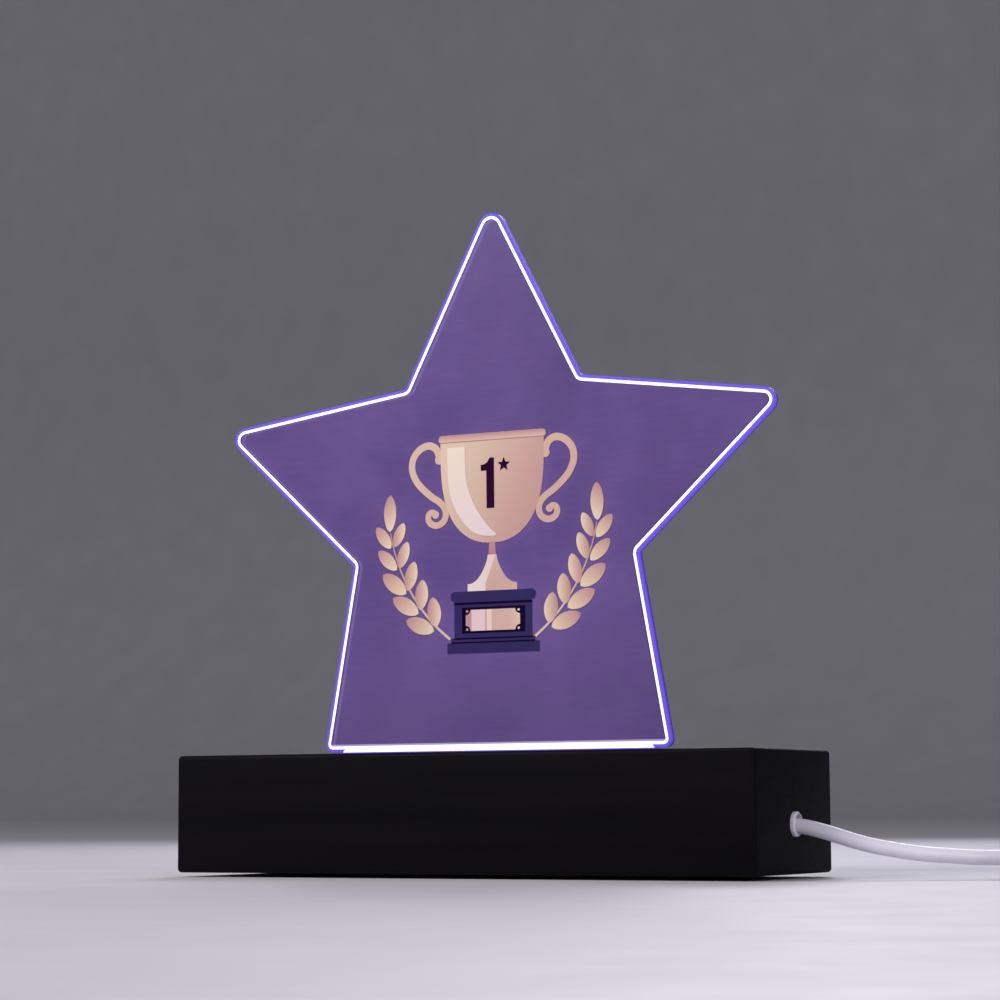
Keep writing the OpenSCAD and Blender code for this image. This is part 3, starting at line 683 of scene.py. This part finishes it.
def laurelPiece(name, node, mirror):
    pattern = unitLeaf()
    leaves = [placedLeaf(pattern, *leaf) for leaf in laurel["leaves"]]
    bpy.data.objects.remove(pattern)
    piece = branchStalk()
    nothingSelected()
    for part in leaves + [piece]:
        part.select_set(True)
    bpy.context.view_layer.objects.active = piece
    bpy.ops.object.join()
    piece.name = piece.data.name = name
    piece.scale = (mirror, 1, 1)
    piece.location = (laurel["middle"] * mm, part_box(node)[0].y, 0)
    settle(piece)
    for face in piece.data.polygons:
        if face.normal.y > 0:
            face.flip()
    applyModifier(piece, "SOLIDIFY", thickness=laurel["thick"] * mm, offset=-1)
    finishPiece(piece, "plaque", [node], "ink_laurel", inkLeaf)


laurelPiece("laurelLeft", "print_laurel_left", 1)
laurelPiece("laurelRight", "print_laurel_right", -1)
print("print")

# wooden block, hollow from below, with its slot
block = {
    "edge": 1.0,
    "slot": (84, 2.4, 19.5),  # length, width, height of its floor
    "window": (76, 3.4, 16, 21),  # length, width, lower and upper end
    "cavity": (124, 25, 17),
    "rebate": (134.4, 33.4, 3),
    "hole": (2.9, 30, (76, 0, 12.1)),  # radius, length, middle
    "footRound": 0.25,
}


def cutAway(piece, tool):
    workOn(piece)
    modifier = piece.modifiers.new("cut", "BOOLEAN")
    modifier.object = tool
    modifier.solver = "EXACT"
    bpy.ops.object.modifier_apply(modifier=modifier.name)
    bpy.data.objects.remove(tool)


def middleBox(length, depth, low, high):
    return box("cutter", (-length / 2, -depth / 2, low), (length / 2, depth / 2, high))


low, high = (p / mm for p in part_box("wood_block"))
wood = box("woodBlock", low, high)
selectAll("EDGE")
bpy.ops.mesh.bevel(offset=block["edge"] * mm, segments=4, affect="EDGES")
objectMode()
cutAway(wood, middleBox(*block["rebate"][:2], -1, block["rebate"][2]))
cutAway(wood, middleBox(*block["cavity"][:2], 2, block["cavity"][2]))
cutAway(wood, middleBox(*block["window"]))
cutAway(wood, middleBox(*block["slot"], high.z + 5))
nothingSelected()
radius, length, middle = block["hole"]
bpy.ops.mesh.primitive_cylinder_add(vertices=64, radius=radius * mm, depth=length * mm,
                                    location=Vector(middle) * mm, rotation=(0, math.pi / 2, 0))
cutAway(wood, bpy.context.object)
smoothShade(wood, 40)
finishPiece(wood, "base", ["wood_block"], "block", woodFinish)


def bothEnds(test):
    return lambda a, b: test(a) and test(b)


# a copy of a CAD node, rounded along the sharp edges that pass test(start, end)
def roundedCopy(node, name, radius, segments, test):
    piece = mergedCopy(node, name)
    editMode("EDGE")
    bpy.ops.mesh.select_all(action="DESELECT")
    bpy.ops.mesh.edges_select_sharp(sharpness=math.radians(40))
    objectMode()
    sharp = {edge.index for edge in piece.data.edges if edge.select}
    selectEdges(test, sharp)
    bpy.ops.mesh.bevel(offset=radius * mm, segments=segments, affect="EDGES")
    objectMode()
    smoothShade(piece, 40)
    return piece


feet = roundedCopy("rubber_feet", "rubberFeet", block["footRound"], 3, bothEnds(lambda point: point.z < 0.01))
finishPiece(feet, "base", ["rubber_feet"], "feet", footFinish)
print("base")

# strap, switch and plug at the cord's end
strap = {"round": 2.0, "thick": 0.5}
low, high = (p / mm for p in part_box("coil_tie"))
coilStrap = box("coilStrap", low, high)
selectEdges(lambda a, b: abs(a.x - b.x) > 1)
bpy.ops.mesh.bevel(offset=strap["round"] * mm, segments=6, affect="EDGES")
selectFaces(lambda middle, normal: abs(normal.x) > 0.9)
bpy.ops.mesh.delete(type="FACE")
objectMode()
applyModifier(coilStrap, "SOLIDIFY", thickness=strap["thick"] * mm, offset=-1)
smoothShade(coilStrap)
finishPiece(coilStrap, "base", ["coil_tie"], "tie", strapFinish)

switch = {
    "middle": (203, 17),
    "topLevel": 11.9,  # the edges above it are rounded
    "topRound": 1.0,
    "opening": (9, 6),  # half size of what stays sharp round the rocker
    "bottomRound": 0.6,
    "bottomFlat": (13.5, 6.5),  # half size of what stays sharp underneath
    "rockerHalf": 4,
    "rockerRound": 0.35,
}


def awayFrom(point, half):
    return abs(point.x - switch["middle"][0]) > half[0] or abs(point.y - switch["middle"][1]) > half[1]


switchTop = roundedCopy("switch_shell_top", "switchTop", switch["topRound"], 4,
                        bothEnds(lambda point: point.z > switch["topLevel"]
                                 and awayFrom(point, switch["opening"])))
finishPiece(switchTop, "base", ["switch_shell_top"], "switch_shell", shellFinish)
switchBottom = roundedCopy("switch_shell_bottom", "switchBottom", switch["bottomRound"], 3,
                           bothEnds(lambda point: point.z < 0.1 and awayFrom(point, switch["bottomFlat"])))
finishPiece(switchBottom, "base", ["switch_shell_bottom"], "switch_shell", shellFinish)
rocker = roundedCopy("switch_rocker", "switchRocker", switch["rockerRound"], 3,
                     bothEnds(lambda point: abs(abs(point.y - switch["middle"][1]) - switch["rockerHalf"]) < 0.01))
finishPiece(rocker, "rocker", ["switch_rocker"], "rocker", rockerFinish)

plugShape = {
    "ends": (193.1, 216.9),  # the edges beyond them are rounded
    "middle": (-11, 4),
    "endFace": (7, 3.5),  # half size of what stays sharp on an end
    "round": 0.7,
}


def plugEdge(point):
    y, z = plugShape["middle"]
    width, height = plugShape["endFace"]
    atEnd = point.x > plugShape["ends"][1] or point.x < plugShape["ends"][0]
    return atEnd and (abs(point.y - y) > width or abs(point.z - z) > height)


plug = roundedCopy("plug_body", "plugBody", plugShape["round"], 4,
                   lambda a, b: abs(a.x - b.x) < 1 and plugEdge(a) and plugEdge(b))
finishPiece(plug, "base", ["plug_body"], "plug_body", plugFinish)

finishPiece(leadCord, "base", ["cord_lead", "cord_coil", "cord_tail"], "cord", cordFinish)
finishPiece(plugCord, "base", ["cord_plug_lead"], "cord", cordFinish)
print("lead")

# finishes of the nodes that keep their own shape
finishes = {
    "bottom_cover": coverFinish, "cover_screws": zincFinish, "led_board": boardFinish, "board_screws": zincFinish,
    "led_packages": packageFinish, "led_lenses": lensFinish, "resistors": resistorFinish,
    "solder_joints": solderFinish, "wire_red": redFinish, "wire_black": blackFinish, "cable_clamp": clampFinish,
    "clamp_screws": zincFinish, "cable_bushing": bushingFinish, "switch_screws": zincFinish,
    "switch_terminals": brassFinish, "switch_spring": brassFinish, "switch_reliefs": reliefFinish,
    "plug_relief": reliefFinish, "plug_shell": nickelFinish, "plug_tongue": tongueFinish,
    "plug_contacts": brassFinish, "print_white": inkWhite, "print_handles": inkHandles, "print_shine": inkShine,
    "print_numeral": inkDark, "print_plinth": inkNavy, "print_recess": inkRecess, "print_nameplate": inkPlate,
}
for name, finish in finishes.items():
    mesh = nodes[name].data
    mesh.materials.clear()
    mesh.materials.append(finish)
# painted glow: the white ink's back faces have emission, standing in for the LEDs' light that the ink scatters, as
# its back is seen through the panel
nodes["print_white"].data.materials.append(inkWhiteLit)
paintFaces(nodes["print_white"], 1, lambda middle, normal: normal.y > 0.9)

# floor with a wall far behind it, and three soft lights
stage = {
    "floor": (0.56, 0.55, 0.59),
    "size": 8000,
    "wall": 3000,  # height of the wall far behind the object
    "sweep": 900,
    "world": (0.75, 0.74, 0.8),
    "worldStrength": 0.32,
    # name: place, aim, size, power, colour
    "lights": {
        "key": ((-420, -620, 620), (0, 0, 70), 420, 6.1, (1, 0.97, 0.95)),
        "fill": ((620, -520, 320), (0, 0, 60), 500, 2.0, (0.93, 0.92, 1)),
        "rear": ((-150, 520, 420), (0, 0, 60), 360, 2.2, (0.9, 0.88, 1)),
    },
}

nothingSelected()
bpy.ops.mesh.primitive_plane_add(size=stage["size"] * mm, location=(0, 0, 0))
floor = bpy.context.object
floor.name = "floor"
selectEdges(lambda a, b: a.y > 100 and b.y > 100)
bpy.ops.mesh.extrude_edges_move(TRANSFORM_OT_translate={"value": (0, 0, stage["wall"] * mm)})
selectEdges(lambda a, b: a.y > 100 and b.y > 100 and a.z < 1 and b.z < 1)
bpy.ops.mesh.bevel(offset=stage["sweep"] * mm, segments=12, affect="EDGES")
objectMode()
smoothShade(floor, 60)
floorFinish, tree, shader = startMaterial("floorPaper")
colours(tree, spots(tree, 60), [(0.3, scaled(stage["floor"], 0.97)), (0.7, scaled(stage["floor"], 1.03))],
        shader.inputs["Base Color"])
values(tree, spots(tree, 20), 0.5, 0.6, shader.inputs["Roughness"])
floor.data.materials.append(floorFinish)

world = bpy.data.worlds.new("studio")
world.use_nodes = True
world.node_tree.nodes["Background"].inputs["Color"].default_value = (*stage["world"], 1)
world.node_tree.nodes["Background"].inputs["Strength"].default_value = stage["worldStrength"]
bpy.context.scene.world = world
for name, (place, target, size, power, colour) in stage["lights"].items():
    light = bpy.data.lights.new(name, "AREA")
    light.size = size * mm
    light.energy = power
    light.color = colour
    lamp = bpy.data.objects.new(name, light)
    lamp.location = Vector(place) * mm
    lamp.rotation_euler = (Vector(target) - Vector(place)).to_track_quat("-Z", "Y").to_euler()
    bpy.context.scene.collection.objects.link(lamp)
print("stage")
